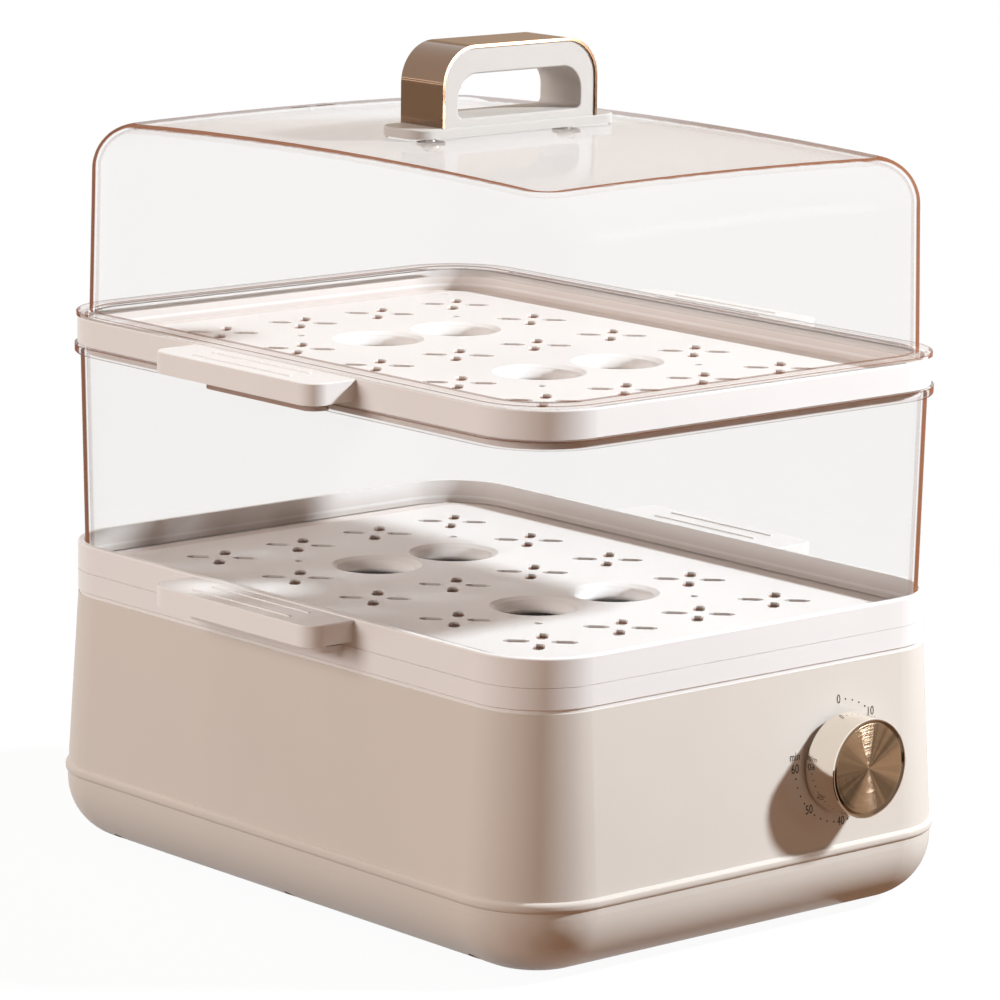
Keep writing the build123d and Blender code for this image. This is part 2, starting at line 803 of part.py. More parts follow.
def make_grip(side, ring_low):
    # a ledge on one X side: round outer corners, two ribs on top, a gusset let into each end
    top = ring_low + tray_ring_height - grip_drop
    low = top - grip_height
    inner_x = half_width - tray_wall / 2
    reach = grip_reach + tray_wall / 2
    sketch = RectangleRounded(2 * reach, grip_length, grip_corner)
    ledge = Pos(inner_x, 0, low) * extrude(sketch, grip_height)
    ledge = ledge & Pos(inner_x + reach / 2, 0, low + grip_height / 2) * Box(reach, grip_length, grip_height)
    ledge = fillet(ledge.edges().group_by(Axis.Z)[-1].filter_by(lambda e: e.center().X > inner_x + 0.1), grip_edge_round)
    gusset = make_face(Polyline((0, top - grip_edge_round), (0, low), (gusset_reach, low), close=True).edges())
    for end in (-1, 1):
        face_y = end * grip_length / 2
        sunk_y = face_y - end * gusset_depth
        ledge = ledge - prism_y(gusset, min(face_y, sunk_y), max(face_y, sunk_y), half_width, 0)
    for index in (-1, 1):
        x = half_width + rib_row_reach + index * rib_pitch / 2
        ledge = ledge + Pos(x, 0, top) * Box(rib_width, rib_length, 2 * rib_height)
    ledge = Pos(0, grip_centre_y, 0) * ledge
    if side < 0:
        ledge = mirror(ledge, about=Plane.YZ)
    return ledge


def make_tray(ring_low):
    # the middle of the floor is raised, and a gutter with drain slots runs round it
    ring_high = ring_low + tray_ring_height
    floor_top = ring_high - tray_floor_drop
    floor_low = floor_top - tray_floor_thickness
    gutter_top = ring_low + tray_floor_thickness
    ring = block(0, ring_low, ring_high)
    ring = fillet(ring.edges().group_by(Axis.Z)[-1], ring_edge_round)
    ring = chamfer(ring.edges().group_by(Axis.Z)[0], ring_seam_cut)
    middle_offset = -tray_wall - gutter_width
    middle = block(middle_offset, ring_low, floor_top)
    middle = chamfer(middle.edges().group_by(Axis.Z)[-1], gutter_slope)
    middle_room = block(middle_offset - tray_floor_thickness, ring_low, floor_low)
    lip_outer = tier_top_offset - tier_wall_thickness - locating_gap
    lip = wall(lip_outer, lip_outer - locating_lip_wall, ring_low - locating_lip_depth, ring_low)
    tray = ring - block(-tray_wall, gutter_top, ring_high) + middle - middle_room + lip
    for side in (-1, 1):
        tray = tray + (make_grip(side, ring_low) - block(-tray_wall / 2, ring_low, ring_high))
    pattern = Pos(0, 0, ring_low) * extrude(floor_pattern(), tray_ring_height)
    tray = tray - pattern
    for column in egg_columns:
        for row in egg_rows:
            x, y = cell_centre(column, row)
            dish_depth = tray_floor_thickness * 0.6
            dish = Cone(egg_hole_radius, egg_rim_radius, dish_depth, align=(Align.CENTER, Align.CENTER, Align.MAX))
            tray = tray - Pos(x, y, floor_top) * dish
    return tray


# Clear tier

def make_tier_wall():
    # it stands in the gutter of the lower tray
    outer = flared(tier_bottom_offset, tier_foot_z, tier_top_offset, tier_top_z)
    inner_low = tier_bottom_offset - tier_wall_thickness
    inner_high = tier_top_offset - tier_wall_thickness
    inner = flared(inner_low, tier_foot_z, inner_high, tier_top_z)
    flange = block(tier_flange_offset, tier_top_z - tier_flange_height, tier_top_z)
    flange = fillet(flange.edges().group_by(Axis.Z)[0], 1.2)
    tabs = side_tab(tier_top_z, tab_length, 0)
    return outer + flange + tabs - inner


# Clear lid with its handle

def lid_block(inset, low):
    # drafted walls, a slightly crowned top and a large round along the top edge
    draft = lid_height * math.tan(math.radians(lid_draft_angle))
    high_offset = lid_bottom_offset - draft - inset
    bottom = Pos(0, 0, low) * RectangleRounded(
        ring_width + 2 * (lid_bottom_offset - inset),
        ring_length + 2 * (lid_bottom_offset - inset),
        lid_corner - inset,
    )
    top = Pos(0, 0, lid_seat_z + lid_height + 4) * RectangleRounded(
        ring_width + 2 * high_offset,
        ring_length + 2 * high_offset,
        lid_corner - inset - draft,
    )
    radius = lid_crown_radius - inset
    crown = Pos(0, 0, lid_top_z - lid_pad_rise - lid_crown_radius) * Rot(90, 0, 0) * Sphere(radius)
    solid = loft([bottom, top]) & crown
    rim = solid.faces().sort_by(Axis.Z)[-1].outer_wire().edges()
    return fillet(rim, lid_edge_radius - inset)


def make_lid_shell():
    outer = lid_block(0, lid_seat_z)
    inner = lid_block(lid_wall_thickness, lid_seat_z)
    flange = block(lid_flange_offset, lid_seat_z, lid_seat_z + lid_flange_thickness)
    flange = fillet(flange.edges().group_by(Axis.Z)[-1], 0.7)
    lip_outer = -tray_wall - locating_gap
    lip = block(lip_outer, lid_seat_z - lid_lip_depth, lid_seat_z)
    lip_room = block(lip_outer - lid_lip_wall, lid_seat_z - lid_lip_depth, lid_seat_z)
    pad = handle_outline(lid_pad_inset)
    pad_low = lid_top_z - lid_wall_thickness
    shell = outer + Pos(0, 0, pad_low) * extrude(pad, lid_wall_thickness) + flange - inner
    shell = shell + (lip - lip_room)
    slot = extrude(SlotOverall(vent_length, vent_width), 30)
    for side in (-1, 1):
        shell = shell - Pos(side * vent_spacing / 2, vent_centre_y, lid_top_z - 20) * slot
        hole = handle_screw_radius + cover_screw_hole_gap
        shell = shell - disc(hole, lid_top_z - 10, lid_top_z + 1, side * handle_screw_x(), 0)
    return shell


def handle_outline(inset):
    length = handle_plate_length - 2 * inset
    return RectangleRounded(length, handle_plate_width - 2 * inset, handle_plate_corner - inset)


def handle_screw_x():
    # in the middle of each leg of the arch
    return (arch_width / 2 - cover_thickness + arch_opening_width / 2) / 2


def arch_face(inset):
    # upright rectangle with round upper corners, standing on the plate
    width = arch_width - 2 * inset
    height = arch_height - inset
    corner = arch_corner - inset
    tall = RectangleRounded(width, 2 * height, corner)
    lower = Pos(0, -height / 2) * Rectangle(width + 2, height)
    return tall - lower


def opening_face():
    # large upper corners, small lower corners
    tall = RectangleRounded(arch_opening_width, 2 * arch_opening_height, arch_opening_top_corner)
    tall = tall - Pos(0, -arch_opening_height / 2) * Rectangle(arch_opening_width + 2, arch_opening_height)
    return fillet(tall.vertices().group_by(Axis.Y)[0], arch_opening_low_corner)


def make_handle_grip():
    plate_top = lid_top_z + handle_plate_thickness
    plate = Pos(0, 0, lid_top_z) * extrude(handle_outline(0), handle_plate_thickness)
    plate = fillet(plate.edges().group_by(Axis.Z)[-1], handle_edge_round)
    half = handle_plate_width / 2 - cover_overhang
    arch = prism_y(arch_face(cover_thickness + cover_gap), -half, half, 0, plate_top)
    arch = arch - prism_y(opening_face(), -half - 1, half + 1, 0, plate_top + arch_sill)
    rim = arch.edges().filter_by(lambda e: abs(abs(e.center().Y) - half) < 0.01)
    rim = rim.filter_by(lambda e: abs(e.center().X) < arch_opening_width / 2 + 0.01)
    low_rim = plate_top + arch_sill - 0.01
    high_rim = plate_top + arch_sill + arch_opening_height + 0.01
    rim = rim.filter_by(lambda e: low_rim < e.center().Z < high_rim)
    arch = fillet(rim, handle_edge_round)
    grip = plate + arch
    for side in (-1, 1):
        bite = handle_screw_radius + thread_gap
        grip = grip - disc(bite, lid_top_z, lid_top_z + handle_screw_bite + 1, side * handle_screw_x(), 0)
    return grip


def make_handle_cover():
    plate_top = lid_top_z + handle_plate_thickness
    half = handle_plate_width / 2
    outer = prism_y(arch_face(0), -half, half, 0, plate_top)
    return outer - prism_y(arch_face(cover_thickness), -half - 1, half + 1, 0, plate_top)


def handle_seal_top_z():
    # the crowned underside of the lid, at the seal's outer edge
    radius = lid_crown_radius - lid_wall_thickness
    reach = handle_screw_x() + handle_seal_radius
    sag = radius - math.sqrt(radius * radius - reach * reach)
    return lid_top_z - lid_pad_rise - lid_wall_thickness - sag - thread_gap


def make_handle_seals():
    seals = []
    top = handle_seal_top_z()
    for side in (-1, 1):
        seal = disc(handle_seal_radius, top - handle_seal_thickness, top, side * handle_screw_x(), 0)
        bore = handle_screw_radius + thread_gap
        seals.append(seal - disc(bore, top - 5, top + 1, side * handle_screw_x(), 0))
    return Compound(seals)


def make_handle_screws():
    seat = handle_seal_top_z() - handle_seal_thickness
    length = lid_top_z + handle_screw_bite - seat
    screw = pan_head_screw(handle_screw_radius, handle_screw_head_radius, handle_screw_head_height, length)
    screws = []
    for side in (-1, 1):
        screws.append(Pos(side * handle_screw_x(), 0, seat) * screw)
    return Compound(screws)


save("base_housing", make_housing())
save("bottom_cover", make_bottom_cover())
save("rubber_feet", make_feet())
save("cover_screws", make_cover_screws())
save("water_pan", make_water_pan())
save("heating_plate", make_heating_plate())
save("plate_gasket", make_plate_gasket())
save("clamp_ring", make_clamp_ring())
save("clamp_screws", make_clamp_screws())
save("clamp_nuts", make_clamp_nuts())
save("heater_element", make_heater_element())
save("thermostat", make_thermostat())
save("thermal_fuse", make_thermal_fuse())
save("steam_collar", make_steam_collar())
save("cord_gland", make_cord_gland())
save("gland_nut", make_gland_nut())
save("terminal_block", make_terminal_block())
save("terminal_screws", make_terminal_screws())
save("timer_case", make_timer_case())
save("timer_bush", make_timer_bush())
save("timer_bell", make_timer_bell())
save("timer_screws", make_timer_screws())
save("timer_shaft", make_timer_shaft())
save("knob_clip", make_knob_clip())
save("knob_body", make_knob_body())
save("knob_cap", make_knob_cap())
save("drip_tray", make_drip_tray())
save("lower_tray", make_tray(lower_ring_z))
save("tier_wall", make_tier_wall())
save("upper_tray", make_tray(upper_ring_z))
save("lid_shell", make_lid_shell())
save("handle_grip", make_handle_grip())
save("handle_cover", make_handle_cover())
save("handle_seals", make_handle_seals())
save("handle_screws", make_handle_screws())
print("frame shift along Y", round(frame_shift_y, 3), "knob hinge y", round(knob_back_y + frame_shift_y, 3))
print("top", round(lid_top_z + handle_plate_thickness + arch_height, 2), "lower floor", round(lower_floor_z, 2))
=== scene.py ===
import math

import bpy
import numpy as np
from mathutils import Matrix, Vector
from mathutils.bvhtree import BVHTree


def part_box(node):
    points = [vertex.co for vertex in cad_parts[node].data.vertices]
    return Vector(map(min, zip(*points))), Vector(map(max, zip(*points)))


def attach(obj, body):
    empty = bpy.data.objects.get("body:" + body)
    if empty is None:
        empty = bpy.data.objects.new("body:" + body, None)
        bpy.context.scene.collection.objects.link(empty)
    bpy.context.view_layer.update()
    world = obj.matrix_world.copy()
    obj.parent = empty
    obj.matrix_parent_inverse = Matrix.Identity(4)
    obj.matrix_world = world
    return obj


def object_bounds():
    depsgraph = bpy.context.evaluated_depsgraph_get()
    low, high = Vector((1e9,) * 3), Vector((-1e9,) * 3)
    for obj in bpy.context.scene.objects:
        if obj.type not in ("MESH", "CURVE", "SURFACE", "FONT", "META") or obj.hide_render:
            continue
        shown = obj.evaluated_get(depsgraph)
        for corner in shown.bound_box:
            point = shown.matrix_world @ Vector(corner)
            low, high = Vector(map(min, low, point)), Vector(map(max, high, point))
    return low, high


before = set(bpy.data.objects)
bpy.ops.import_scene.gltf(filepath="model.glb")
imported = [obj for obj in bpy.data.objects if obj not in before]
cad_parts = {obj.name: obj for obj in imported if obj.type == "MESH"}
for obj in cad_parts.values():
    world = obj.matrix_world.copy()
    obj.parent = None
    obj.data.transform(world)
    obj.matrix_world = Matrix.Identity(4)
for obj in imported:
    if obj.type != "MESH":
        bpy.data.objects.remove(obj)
cadLow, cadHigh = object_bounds()
print("frame loaded,", len(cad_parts), "nodes")


# Camera

cameraView = {
    "azimuth": -40.845,       # degrees, 0 looks along +Y
    "elevation": 11.131,
    "roll": 0.72,
    "focalPixels": 5168.7,    # focal length in pixels of a 1000 pixel wide image
    "imagePixels": 1000,
    "sensor": 36.0,
    "distance": 2.184,
    "aimRight": 0.0022,
    "aimHeight": 0.15903,
    "clipEnd": 60.0,
}


def ringCentre():
    low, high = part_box("lower_tray")
    return (low + high) / 2


def makeCamera(look):
    azimuth, elevation, roll = (math.radians(look[key]) for key in ("azimuth", "elevation", "roll"))
    flat = math.cos(elevation)
    back = Vector((math.sin(azimuth) * flat, -math.cos(azimuth) * flat, math.sin(elevation)))
    right = Vector((math.cos(azimuth), math.sin(azimuth), 0))
    up = back.cross(right)
    aim = Vector((0, ringCentre().y, look["aimHeight"])) + right * look["aimRight"]
    across = right * math.cos(roll) + up * math.sin(roll)
    upright = up * math.cos(roll) - right * math.sin(roll)
    place = Matrix((across, upright, back)).transposed().to_4x4()
    place.translation = aim + back * look["distance"]
    data = bpy.data.cameras.new("photo_camera")
    data.sensor_width = look["sensor"]
    data.lens = look["focalPixels"] / look["imagePixels"] * look["sensor"]
    data.clip_end = look["clipEnd"]
    camera = bpy.data.objects.new("photo_camera", data)
    bpy.context.scene.collection.objects.link(camera)
    camera.matrix_world = place
    bpy.context.scene.camera = camera


makeCamera(cameraView)
print("camera placed")


# Shader maths: an expression on wires adds its Math nodes

class Wire:
    def __init__(self, tree, socket=None):
        self.tree = tree
        self.socket = socket

    def node(self, kind, settings=None, sockets=None, out=0):
        # settings come first, then the values or wires of the sockets
        made = self.tree.nodes.new(kind)
        for name, value in (settings or {}).items():
            setattr(made, name, value)
        for name, value in (sockets or {}).items():
            if isinstance(value, Wire):
                self.tree.links.new(value.socket, made.inputs[name])
            else:
                made.inputs[name].default_value = value
        return Wire(self.tree, made.outputs[out] if len(made.outputs) else None)

    def output(self, name):
        # another output of the same node
        return Wire(self.tree, self.socket.node.outputs[name])

    def maths(self, operation, first, second=0.0):
        return self.node("ShaderNodeMath", {"operation": operation}, {0: first, 1: second})

    def __add__(self, other):
        return self.maths("ADD", self, other)

    __radd__ = __add__

    def __sub__(self, other):
        return self.maths("SUBTRACT", self, other)

    def __rsub__(self, other):
        return self.maths("SUBTRACT", other, self)

    def __mul__(self, other):
        return self.maths("MULTIPLY", self, other)

    __rmul__ = __mul__

    def __pow__(self, other):
        return self.maths("POWER", self, other)


def newMaterial(name):
    material = bpy.data.materials.new(name)
    material.use_nodes = True
    material.node_tree.nodes.clear()
    return material, Wire(material.node_tree)


def closeMaterial(sheet, surface):
    sheet.node("ShaderNodeOutputMaterial", {}, {"Surface": surface})


def rgba(colour, share=1.0):
    return (colour[0] * share, colour[1] * share, colour[2] * share, 1.0)


def shadeMix(sheet, fac, first, second):
    return sheet.node("ShaderNodeMix", {"data_type": "RGBA"}, {0: fac, 6: first, 7: second}, out=2)


def mixShaders(sheet, fac, first, second):
    return sheet.node("ShaderNodeMixShader", {}, {0: fac, 1: first, 2: second})


def vectorMaths(sheet, operation, first, second=(0, 0, 0), out="Vector"):
    return sheet.node("ShaderNodeVectorMath", {"operation": operation}, {0: first, 1: second}, out=out)


def noise(sheet, spot, scale, detail=2.0):
    return sheet.node("ShaderNodeTexNoise", {}, {"Vector": spot, "Scale": scale, "Detail": detail})


def stepUp(sheet, value, span):
    # 0 below the span, 1 above it, smooth between
    settings = {"interpolation_type": "SMOOTHSTEP"}
    return sheet.node("ShaderNodeMapRange", settings, {0: value, 1: span[0], 2: span[1]})


# Finishes

mouldedPlastic = {
    "grain": 1700.0,          # noise cells per metre
    "grainDepth": 0.00002,
    "mottle": 24.0,           # slow change of tone and gloss over the surface
    "toneShare": 0.03,
    "glossShare": 0.05,
    "index": 1.46,
}

eggSeat = {
    "columns": (-0.02155, 0.02155),
    "rows": (-0.052, 0.052),
    "mouth": 0.0168,
    "bottom": 0.0150,
    "wall": 0.0014,
    "start": 0.0013,          # below the top of the floor
    "floor": 0.0020,
    "depth": 0.0063,
    "bend": 0.75,             # share of the depth at which the inside bends a little
    "collar": 0.0002,         # the outside starts this far under the floor
    "gap": 0.00012,           # round the hole's own wall
    "sides": 64,
}

floorDrop = 0.0072        # the raised floor of a tray lies this far under its ring's top

# painted shade: a brown tone laid into the slots and gutter of each tray and on the foot of its ring's
# inner wall, where shade falls
recessShade = {
    "tone": (0.38, 0.21, 0.13),
    "fade": (0.0016, 0.0003),         # below the floor's top: full, none
    "end": (0.0065, 0.0050),          # and none again on the lip that reaches under the ring
    "wallShare": 0.22,                # the same painted shade on the foot of the ring's inner wall
    "gutterShare": 0.3,               # and in the gutter round the raised floor
    "floorReach": (0.0957, 0.1367),   # half width and half length of the raised floor
    "halfWidth": 0.1155,              # the ring's inside and a little more
    "halfLength": 0.1565,
    "corner": 0.029,                  # radius of its corners
    "seatMargin": 0.0006,             # kept clear round the egg seats
    "underside": -0.5,                # faces that look further down than this stay white
}


def recessShadeShare(sheet, spot, tray):
    # share of painted shade: 1 in the slots of a tray, less in its gutter and on its inner wall, 0 on its
    # floor and its egg seats
    look = recessShade
    parts = sheet.node("ShaderNodeSeparateXYZ", {}, {0: spot}, out="X")
    sideways = sheet.maths("ABSOLUTE", parts)
    along = sheet.maths("ABSOLUTE", parts.output("Y") - ringCentre().y)
    floorTop = topOf(tray) - floorDrop
    height = parts.output("Z")
    deep = 1 - stepUp(sheet, height, (floorTop - look["fade"][0], floorTop - look["fade"][1]))
    aboveFloor = sheet.maths("GREATER_THAN", height, floorTop + look["fade"][1])
    foot = (1 - stepUp(sheet, height, (floorTop, floorTop + floorDrop))) * aboveFloor
    across, down = sideways - eggSeat["columns"][1], along - eggSeat["rows"][1]
    seatReach = eggSeat["mouth"] + eggSeat["wall"] + look["seatMargin"]
    clearOfSeat = sheet.maths("GREATER_THAN", (across * across + down * down) ** 0.5, seatReach)
    # inside a rectangle with rounded corners: hypot(max(x - a, 0), max(y - b, 0)) is under their radius
    pastX = sheet.maths("MAXIMUM", sideways - (look["halfWidth"] - look["corner"]), 0.0)
    pastY = sheet.maths("MAXIMUM", along - (look["halfLength"] - look["corner"]), 0.0)
    inside = sheet.maths("LESS_THAN", (pastX * pastX + pastY * pastY) ** 0.5, look["corner"])
    aboveLip = stepUp(sheet, height, (floorTop - look["end"][0], floorTop - look["end"][1]))
    facing = sheet.node("ShaderNodeSeparateXYZ", {}, {0: spot.output("Normal")}, out="Z")
    notUnder = sheet.maths("GREATER_THAN", facing, look["underside"])
    onFloor = sheet.maths("LESS_THAN", sideways, look["floorReach"][0])
    onFloor = onFloor * sheet.maths("LESS_THAN", along, look["floorReach"][1])
    strength = look["gutterShare"] + onFloor * (1 - look["gutterShare"])
    share = sheet.maths("MAXIMUM", deep * strength, foot * look["wallShare"])
    return share * clearOfSeat * inside * aboveLip * notUnder


def plasticMaterial(name, colour, roughness, grainDepth=None, tray=None, shine=0.5):
    look = mouldedPlastic
    material, sheet = newMaterial(name)
    spot = sheet.node("ShaderNodeTexCoord", out="Object")
    grain = noise(sheet, spot, look["grain"])
    mottle = noise(sheet, spot, look["mottle"], 3.0)
    depth = look["grainDepth"] if grainDepth is None else grainDepth
    bump = sheet.node("ShaderNodeBump", {}, {"Height": grain, "Distance": depth, "Strength": 1.0})
    change = look["toneShare"]
    tone = shadeMix(sheet, mottle, rgba(colour, 1 - change), rgba(colour, 1 + change))
    if tray:
        # painted shade in the tray's slots, its gutter and the foot of its inner wall
        tone = shadeMix(sheet, recessShadeShare(sheet, spot, tray), tone, rgba(recessShade["tone"]))
    gloss = roughness + (mottle - 0.5) * 2 * look["glossShare"]
    surface = sheet.node("ShaderNodeBsdfPrincipled", {}, {
        "Base Color": tone, "Roughness": gloss, "Normal": bump,
        "IOR": look["index"], "Specular IOR Level": shine,
    })
    closeMaterial(sheet, surface)
    return material


clearPlastic = {
    "tint": (0.978, 0.975, 0.972),    # what one face lets through
    "wall": (0.88, 0.86, 0.85),       # the faint veil of a wall
    "veil": 0.006,
    "index": 1.45,
    "gloss": 0.45,                    # share of the plain Fresnel reflection
    "mostShare": 0.96,
    "roughness": 0.06,
    "cloud": 35.0,                    # slow change of the roughness
    "cloudShare": 0.03,
    "edge": (0.22, 0.078, 0.032),     # brown of the moulding seen along its thickness
    "edgeShare": 0.95,
    "edgeRoughness": 0.5,
    "edgeGloss": 0.05,
    "innerShare": 0.13,               # the same on the face towards the food
    "turnStart": (0.05, 0.13),        # cosines to the sight line between which the brown line comes in
    "turnEnd": (0.30, 0.37),          # and between which it fades out
    "topTurn": 0.05,                  # how much sooner it fades under the level top
    "flatWall": (0.975, 0.992),       # flat walls stay clear from every side
    "level": (0.62, 0.56, 0.53),      # level faces, seen at a low angle through more plastic
    "levelShare": 0.19,
    "levelSlope": (0.9955, 0.9995),
    "tierRim": 0.004,                 # heights of the two rims
    "lidRim": 0.002,
    "rimShare": 0.10,
    "rimFade": 0.0002,
    "rimSlope": (0.6, 0.9),           # upright parts of the normals at which the rim's tone ends
    "gapShadowShare": 0.5,                 # painted shadow: the dark line along the rim's upper edge
    "gapShadowWidth": 0.0008,              # its lower half fades in
    "tabShare": 0.75,
    "tabTone": (0.36, 0.19, 0.11),    # the side tabs, seen through less plastic
    "tabReach": (0.1195, 0.1205),
}


def tierRim():
    top = topOf("tier_wall")
    return top - clearPlastic["tierRim"], top


def lidRim():
    foot = topOf("upper_tray")
    return foot, foot + clearPlastic["lidRim"]


def clearMaterial(name, node, rimSpan):
    # see-through plastic whose turned-away faces, rim and tabs show the brown of its thickness, with a
    # painted shadow line along the rim's upper edge
    look = clearPlastic
    rimLow, rimHigh = rimSpan
    material, sheet = newMaterial(name)
    place = sheet.node("ShaderNodeTexCoord", out="Object")
    facing = sheet.node("ShaderNodeTexCoord", out="Normal")
    height = sheet.node("ShaderNodeSeparateXYZ", {}, {0: place}, out="Z")
    parts = sheet.node("ShaderNodeSeparateXYZ", {}, {0: facing}, out="Z")
    upright = sheet.maths("ABSOLUTE", parts)
    sideways = [sheet.maths("ABSOLUTE", parts.output(axis)) for axis in "XY"]
    flatWall = stepUp(sheet, sheet.maths("MAXIMUM", *sideways), look["flatWall"])
    square = 1 - sheet.node("ShaderNodeLayerWeight", {}, {"Blend": 0.5}, out="Facing")
    level = stepUp(sheet, upright, look["levelSlope"])
    # a face is the outer one where its own normal leads away from the middle of the part
    arm = vectorMaths(sheet, "SUBTRACT", place, centreOf(node))
    away = vectorMaths(sheet, "DOT_PRODUCT", arm, facing, out="Value")
    behind = sheet.node("ShaderNodeNewGeometry", out="Backfacing")
    outer = sheet.maths("GREATER_THAN", away * (1 - 2 * behind), 0.0)
    fading = stepUp(sheet, square + upright * look["topTurn"], look["turnEnd"])
    turned = stepUp(sheet, square, look["turnStart"]) * (1 - fading) * (1 - level) * (1 - flatWall)
    turned = turned * (look["innerShare"] + outer * (look["edgeShare"] - look["innerShare"]))
    aboveRim = stepUp(sheet, height, (rimHigh, rimHigh + look["rimFade"]))
    inRim = stepUp(sheet, height, (rimLow - look["rimFade"], rimLow)) * (1 - aboveRim)
    inRim = inRim * (1 - stepUp(sheet, upright, look["rimSlope"]))
    # painted shadow: a dark line along the rim's upper edge, at the gap under what sits on it
    line = stepUp(sheet, height, (rimHigh - look["gapShadowWidth"], rimHigh - look["gapShadowWidth"] * 0.5))
    onTab = stepUp(sheet, sheet.maths("ABSOLUTE", height.output("X")), look["tabReach"])
    gapShadowOrTab = sheet.maths("MAXIMUM", line * look["gapShadowShare"], onTab * look["tabShare"])
    rim = inRim * (look["rimShare"] + gapShadowOrTab)
    lit = 1 - sheet.node("ShaderNodeLightPath", out="Is Shadow Ray")     # clear parts cast no shadow
    brown = sheet.maths("MAXIMUM", turned, rim) * lit
    cloud = noise(sheet, place, look["cloud"])
    tone = shadeMix(sheet, level, rgba(look["wall"]), rgba(look["level"]))
    shine = sheet.node("ShaderNodeFresnel", {}, {"IOR": look["index"]}) * (1 - behind) * look["gloss"]
    share = (look["veil"] + shine + level * look["levelShare"]) * lit
    body = sheet.node("ShaderNodeBsdfPrincipled", {}, {
        "Base Color": tone, "Roughness": look["roughness"] + cloud * look["cloudShare"],
    })
    clear = sheet.node("ShaderNodeBsdfTransparent", {}, {"Color": rgba(look["tint"])})
    wall = mixShaders(sheet, sheet.maths("MINIMUM", share, look["mostShare"]), clear, body)
    edge = shadeMix(sheet, onTab, rgba(look["edge"]), rgba(look["tabTone"]))
    thick = sheet.node("ShaderNodeBsdfPrincipled", {}, {
        "Base Color": edge, "Roughness": look["edgeRoughness"], "Specular IOR Level": look["edgeGloss"],
    })
    closeMaterial(sheet, mixShaders(sheet, brown, wall, thick))
    return material


plainMetal = {"scratch": 2500.0, "depth": 0.000004, "stretch": (1.0, 1.0, 1.0), "coat": 0.0}
polished = {"scratch": 3000.0, "depth": 0.0000006}
metalCloud = {"scale": 60.0, "low": 0.96, "high": 1.03, "glossShare": 0.06}     # slow change over it


def metalMaterial(name, colour, roughness, **changes):
    # fine scratches, drawn out along the axis whose stretch is small
    look = {**plainMetal, **changes}
    material, sheet = newMaterial(name)
    spot = sheet.node("ShaderNodeTexCoord", out="Object")
    drawn = sheet.node("ShaderNodeMapping", {}, {"Vector": spot, "Scale": look["stretch"]})
    lines = noise(sheet, drawn, look["scratch"])
    cloud = noise(sheet, spot, metalCloud["scale"], 3.0)
    bump = sheet.node("ShaderNodeBump", {}, {"Height": lines, "Distance": look["depth"], "Strength": 1.0})
    tone = shadeMix(sheet, cloud, rgba(colour, metalCloud["low"]), rgba(colour, metalCloud["high"]))
    gloss = roughness + (cloud - 0.5) * metalCloud["glossShare"]
    surface = sheet.node("ShaderNodeBsdfPrincipled", {}, {
        "Base Color": tone, "Roughness": gloss, "Metallic": 1.0, "Normal": bump,
        "Coat Weight": look["coat"],
    })
    closeMaterial(sheet, surface)
    return material


spunDisc = {
    "colour": (0.66, 0.55, 0.43),
    "roughness": 0.13,
    "rings": 30000.0,         # turning marks per metre of radius
    "tilt": 0.3,              # how far a mark leans the surface, outwards or inwards
    "reflectionSectors": 1.7,           # painted reflection: slow change of tone round the disc, in light and dark sectors
    "reflectionSectorShare": 2.2,
    "markShare": 0.14,
    "toneLow": 0.6,
    "toneHigh": 1.4,
    "bevel": 0.0013,          # the outermost ring leans outwards, and is painted dark as shade
    "bevelFade": 0.0001,
    "bevelLean": 0.6,
    "bevelShadeColour": (0.24, 0.15, 0.085),
}


def spunMaterial(name, centre):
    # turning marks: the normal leans along the radius, each mark by a chance amount of its own
    look = spunDisc
    material, sheet = newMaterial(name)
    spot = sheet.node("ShaderNodeTexCoord", out="Object")
    flatArm = vectorMaths(sheet, "MULTIPLY", vectorMaths(sheet, "SUBTRACT", spot, centre), (1, 0, 1))
    radius = vectorMaths(sheet, "LENGTH", flatArm, out="Value")
    outward = vectorMaths(sheet, "NORMALIZE", flatArm)
    mark = sheet.maths("FLOOR", radius * look["rings"])
    marks = sheet.node("ShaderNodeTexWhiteNoise", {"noise_dimensions": "1D"}, {"W": mark})
    low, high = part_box("knob_cap")
    edge = (high.x - low.x) / 2 - look["bevel"]
    rim = stepUp(sheet, radius, (edge - look["bevelFade"], edge + look["bevelFade"]))
    lean = (marks - 0.5) * 2 * look["tilt"] * (1 - rim) + rim * look["bevelLean"]
    side = sheet.node("ShaderNodeVectorMath", {"operation": "SCALE"}, {0: outward, "Scale": lean})
    facing = sheet.node("ShaderNodeNewGeometry", out="Normal")
    normal = vectorMaths(sheet, "NORMALIZE", vectorMaths(sheet, "ADD", facing, side))
    # painted reflection: light and dark sectors of the spun finish laid into the disc's colour
    reflectionSector = noise(sheet, outward, look["reflectionSectors"], 3.0)
    share = (reflectionSector - 0.5) * 2 * look["reflectionSectorShare"] + marks * look["markShare"] + 0.5
    darkest, brightest = (rgba(look["colour"], look[end]) for end in ("toneLow", "toneHigh"))
    tone = shadeMix(sheet, share, darkest, brightest)
    # painted shade: the leaning outer ring of the disc is coloured dark brown
    tone = shadeMix(sheet, rim, tone, rgba(look["bevelShadeColour"]))
    surface = sheet.node("ShaderNodeBsdfPrincipled", {}, {
        "Base Color": tone, "Roughness": look["roughness"], "Metallic": 1.0, "Normal": normal,
    })
    closeMaterial(sheet, surface)
    return material


def centreOf(node):
    low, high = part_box(node)
    return (low + high) / 2


def topOf(node):
    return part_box(node)[1].z


beige = (0.64, 0.585, 0.53)
warmWhite = (0.79, 0.765, 0.75)
zinc = (0.62, 0.61, 0.58)
stainless = (0.66, 0.65, 0.63)
brass = (0.72, 0.55, 0.28)
champagne = (0.92, 0.86, 0.79)
bronze = (0.25, 0.155, 0.10)

